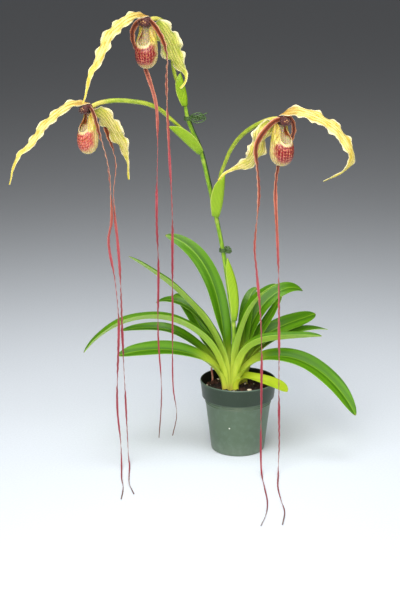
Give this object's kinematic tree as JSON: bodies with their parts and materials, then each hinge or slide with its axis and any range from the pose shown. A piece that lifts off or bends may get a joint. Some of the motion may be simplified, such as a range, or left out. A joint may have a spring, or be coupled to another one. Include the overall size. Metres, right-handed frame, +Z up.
{
  "type": "potted long-petalled slipper orchid",
  "caption": "Slipper orchid in a green nursery pot: strap-leaf fans, a tied flower stem and blooms with pouches and very long hanging ribbon petals.",
  "frame": {"origin": "centre of the pot's flat underside, on the surface that the pot stands on", "axes": "+Z up along the pot's axis; +X to the viewer's right; -Y is the front, towards the viewer"},
  "size_m": [0.491, 0.3783, 0.6584],
  "materials": {
    "pot_plastic": "satin",
    "bark_mix": "matte",
    "rhizome": "matte",
    "old_spike": "matte",
    "leaf": "satin",
    "stem": "satin",
    "bract": "satin",
    "stake": "satin",
    "tie": "satin",
    "ovary": "satin",
    "column": "matte",
    "sepal": "satin",
    "pouch": "satin",
    "petal": "satin"
  },
  "bodies": {
    "root": {"pot": "pot_plastic", "rhizome": "rhizome", "potting_mix": "bark_mix", "old_spike_stub": "old_spike", "flower_stem": "stem", "wire_stake": "stake", "stem_tie_lower": "tie", "stem_tie_upper": "tie", "leaf_front_left_1": "leaf", "leaf_front_left_2": "leaf", "leaf_front_left_3": "leaf", "leaf_front_left_4": "leaf", "leaf_front_right_1": "leaf", "leaf_front_right_2": "leaf", "leaf_front_right_3": "leaf", "leaf_front_right_4": "leaf", "leaf_back_left_1": "leaf", "leaf_back_left_2": "leaf", "leaf_back_left_3": "leaf", "leaf_back_right_1": "leaf", "leaf_back_right_2": "leaf", "leaf_back_right_3": "leaf", "leaf_back_right_4": "leaf", "leaf_back_right_5": "leaf", "stem_sheath": "bract", "bract_right": "bract", "bract_left": "bract", "bract_top": "bract", "column_right": "column", "pouch_right": "pouch", "dorsal_sepal_right": "sepal", "synsepal_right": "sepal", "ovary_right": "ovary", "petal_near_right": "petal", "petal_far_right": "petal", "column_left": "column", "pouch_left": "pouch", "dorsal_sepal_left": "sepal", "synsepal_left": "sepal", "ovary_left": "ovary", "petal_near_left": "petal", "petal_far_left": "petal", "column_top": "column", "pouch_top": "pouch", "dorsal_sepal_top": "sepal", "synsepal_top": "sepal", "ovary_top": "ovary", "petal_near_top": "petal", "petal_far_top": "petal"}
  },
  "joints": []
}
